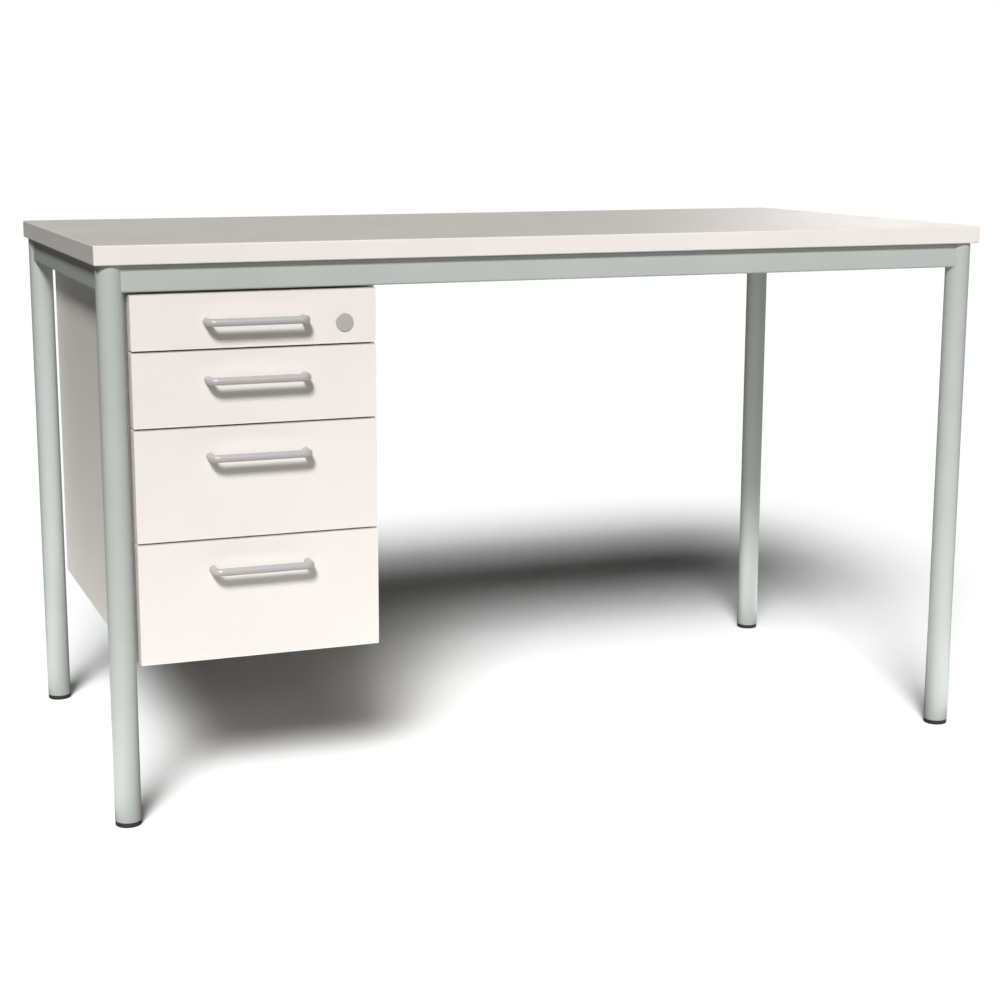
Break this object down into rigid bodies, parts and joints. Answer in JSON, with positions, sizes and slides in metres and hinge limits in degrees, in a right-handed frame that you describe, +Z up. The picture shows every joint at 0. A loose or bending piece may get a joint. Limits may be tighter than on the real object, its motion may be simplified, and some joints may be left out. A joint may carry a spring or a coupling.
{
  "type": "teacher desk",
  "caption": "Rectangular teacher desk: laminated top on a round-legged steel frame, with a hanging drawer pedestal at the left, bow handles and a lock.",
  "frame": {"origin": "centre of the whole desk's footprint, handles included, on the floor; the tabletop's own centre is 9.9 mm behind it", "axes": "+X to the seated user's right along the desk, +Y away from the user to the back, +Z up; drawers open towards -Y"},
  "size_m": [1.3, 0.6698, 0.765],
  "materials": {
    "melamine_white": "matt warm-white melamine on chipboard, fine pearl texture",
    "edge_band_white": "matt warm-white plastic edge band",
    "powder_coat_grey": "light grey powder coat, semi-matt with fine orange peel",
    "drawer_steel": "light grey powder-coated sheet steel, semi-matt",
    "handle_silver": "silver-grey lacquered metal, satin",
    "lock_nickel": "matt nickel-plated brass",
    "zinc_steel": "bright zinc-plated steel",
    "glide_plastic": "dark grey moulded plastic, matt"
  },
  "bodies": {
    "desk": {"tabletop": "melamine_white", "edge_band": "edge_band_white", "leg_front_left": "powder_coat_grey", "leg_front_right": "powder_coat_grey", "leg_back_left": "powder_coat_grey", "leg_back_right": "powder_coat_grey", "glide_front_left": "glide_plastic", "glide_front_right": "glide_plastic", "glide_back_left": "glide_plastic", "glide_back_right": "glide_plastic", "rail_front": "powder_coat_grey", "rail_back": "powder_coat_grey", "rail_left": "powder_coat_grey", "rail_right": "powder_coat_grey", "top_screw_front_left": "zinc_steel", "top_screw_front_right": "zinc_steel", "top_screw_back_left": "zinc_steel", "top_screw_back_right": "zinc_steel", "case_side_left": "melamine_white", "case_side_right": "melamine_white", "case_back": "melamine_white", "case_bottom": "melamine_white", "case_top": "melamine_white", "case_screw_front_left": "zinc_steel", "case_screw_front_right": "zinc_steel", "case_screw_back_left": "zinc_steel", "case_screw_back_right": "zinc_steel", "lock_strike_rail": "drawer_steel", "slide_1_left_fixed": "zinc_steel", "slide_1_right_fixed": "zinc_steel", "slide_2_left_fixed": "zinc_steel", "slide_2_right_fixed": "zinc_steel", "slide_3_left_fixed": "zinc_steel", "slide_3_right_fixed": "zinc_steel", "slide_4_left_fixed": "zinc_steel", "slide_4_right_fixed": "zinc_steel"},
    "drawer_1": {"drawer_1_front": "melamine_white", "drawer_1_box": "drawer_steel", "drawer_1_handle": "handle_silver", "slide_1_left_moving": "zinc_steel", "slide_1_right_moving": "zinc_steel", "lock_housing": "lock_nickel", "lock_nut": "zinc_steel"},
    "drawer_2": {"drawer_2_front": "melamine_white", "drawer_2_box": "drawer_steel", "drawer_2_handle": "handle_silver", "slide_2_left_moving": "zinc_steel", "slide_2_right_moving": "zinc_steel"},
    "drawer_3": {"drawer_3_front": "melamine_white", "drawer_3_box": "drawer_steel", "drawer_3_handle": "handle_silver", "slide_3_left_moving": "zinc_steel", "slide_3_right_moving": "zinc_steel"},
    "drawer_4": {"drawer_4_front": "melamine_white", "drawer_4_box": "drawer_steel", "drawer_4_handle": "handle_silver", "slide_4_left_moving": "zinc_steel", "slide_4_right_moving": "zinc_steel"},
    "lock_cylinder": {"lock_plug": "lock_nickel", "lock_cam": "zinc_steel"}
  },
  "joints": [
    {"name": "drawer_1_slide", "type": "slide", "parent": "desk", "child": "drawer_1", "axis": [0, -1, 0], "range_m": [0, 0.38]},
    {"name": "drawer_2_slide", "type": "slide", "parent": "desk", "child": "drawer_2", "axis": [0, -1, 0], "range_m": [0, 0.38]},
    {"name": "drawer_3_slide", "type": "slide", "parent": "desk", "child": "drawer_3", "axis": [0, -1, 0], "range_m": [0, 0.38]},
    {"name": "drawer_4_slide", "type": "slide", "parent": "desk", "child": "drawer_4", "axis": [0, -1, 0], "range_m": [0, 0.38]},
    {"name": "lock_turn", "type": "hinge", "parent": "drawer_1", "child": "lock_cylinder", "pos_m": [-0.324, -0.3056, 0.658], "axis": [0, 1, 0], "range_deg": [0, 90]}
  ]
}
